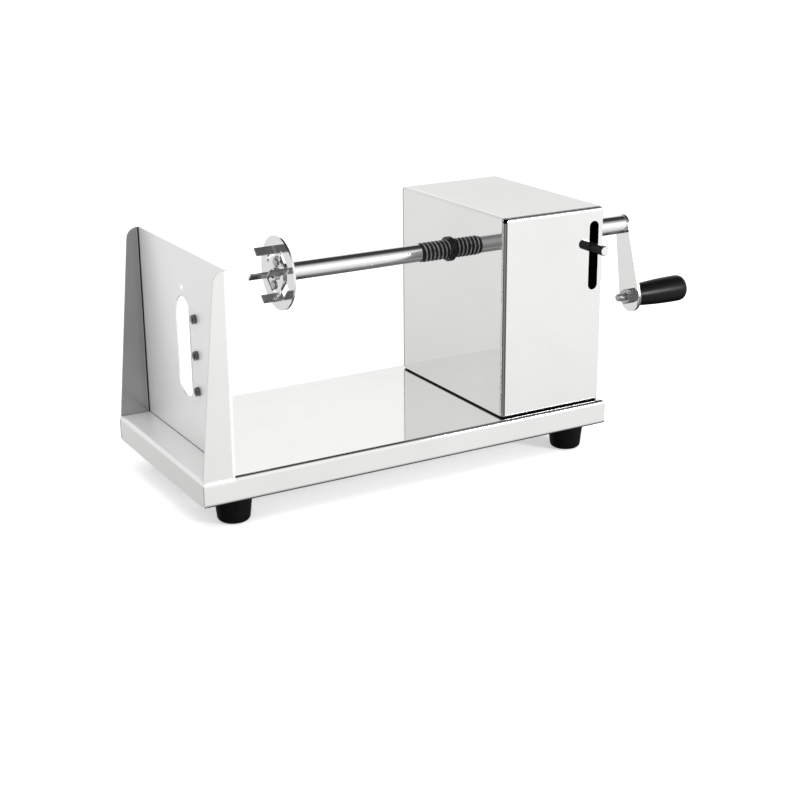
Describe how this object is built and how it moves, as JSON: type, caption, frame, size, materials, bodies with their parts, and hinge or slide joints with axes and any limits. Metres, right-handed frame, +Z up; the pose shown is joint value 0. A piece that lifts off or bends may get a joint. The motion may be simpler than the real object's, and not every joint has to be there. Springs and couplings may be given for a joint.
{
  "type": "spiral potato cutter",
  "caption": "Hand-cranked spiral potato cutter: folded tray on rubber feet, blade stand, pronged disc on a screw-fed spindle through a box housing, crank and lever.",
  "frame": {"origin": "on the floor plane, under the middle of the whole machine's box, crank and lever rod included", "axes": "+X from the blade stand towards the crank, along the spindle; +Y from the front, where the lever's rod comes out, to the back; +Z up from the rubber feet"},
  "size_m": [0.4272, 0.1582, 0.1772],
  "materials": {
    "polished_sheet": "mirror-polished stainless sheet",
    "blade_steel": "ground and polished",
    "bright_fasteners": "bright turned stainless",
    "polished_tube": "polished",
    "black_screw": "black oxide, oiled",
    "black_rod": "black coated with a bare end",
    "lever_steel": "plain steel",
    "nut_brass": "machined",
    "bush_metal": "turned",
    "black_grip": "satin black",
    "black_rubber": "moulded"
  },
  "bodies": {
    "base": {"base_tray": "polished_sheet", "rubber_feet": "black_rubber", "foot_washers": "bright_fasteners", "foot_screws": "bright_fasteners", "foot_nuts": "bright_fasteners", "blade_stand": "polished_sheet", "slicing_blade": "blade_steel", "blade_spacers": "bright_fasteners", "blade_screws": "bright_fasteners", "blade_nuts": "bright_fasteners", "housing_shell": "polished_sheet", "rear_cover": "polished_sheet", "rear_cover_screws": "bright_fasteners", "housing_screws": "bright_fasteners", "housing_nuts": "bright_fasteners", "pivot_bolt": "bright_fasteners", "pivot_spacer": "bright_fasteners", "pivot_washer": "bright_fasteners", "pivot_nut": "bright_fasteners"},
    "bushes": {"left_bush": "bush_metal", "right_bush": "bush_metal"},
    "spindle": {"prong_disc": "polished_sheet", "disc_hub": "polished_tube", "disc_rivets": "bright_fasteners", "front_tube": "polished_tube", "lead_screw": "black_screw", "crank_hub": "polished_tube", "crank_arm": "polished_sheet", "handle_bolt": "bright_fasteners", "handle_nut": "bright_fasteners", "handle_washer": "bright_fasteners"},
    "grip": {"handle_grip": "black_grip"},
    "half_nut_lever": {"half_nut": "nut_brass", "half_nut_screws": "bright_fasteners", "lever_bar": "lever_steel", "lever_rod": "black_rod", "lever_rod_nut": "bright_fasteners"}
  },
  "joints": [
    {"name": "crank_turn", "type": "hinge", "parent": "base", "child": "bushes", "pos_m": [0, 0.00415, 0.1432], "axis": [1, 0, 0], "range_deg": [-4650, 10180]},
    {"name": "spindle_feed", "type": "slide", "parent": "bushes", "child": "spindle", "axis": [1, 0, 0], "range_m": [-0.042, 0.092]},
    {"name": "grip_spin", "type": "hinge", "parent": "spindle", "child": "grip", "pos_m": [0.18645, -0.00839, 0.09016], "axis": [1, 0, 0], "continuous": true},
    {"name": "lever_lift", "type": "hinge", "parent": "base", "child": "half_nut_lever", "pos_m": [0.08505, 0.05515, 0.1488], "axis": [-1, 0, 0], "range_deg": [0, 6.5]}
  ],
  "couplings": [
    {"joint": "spindle_feed", "follows": "crank_turn", "m_per_rad": 0.00051725}
  ]
}
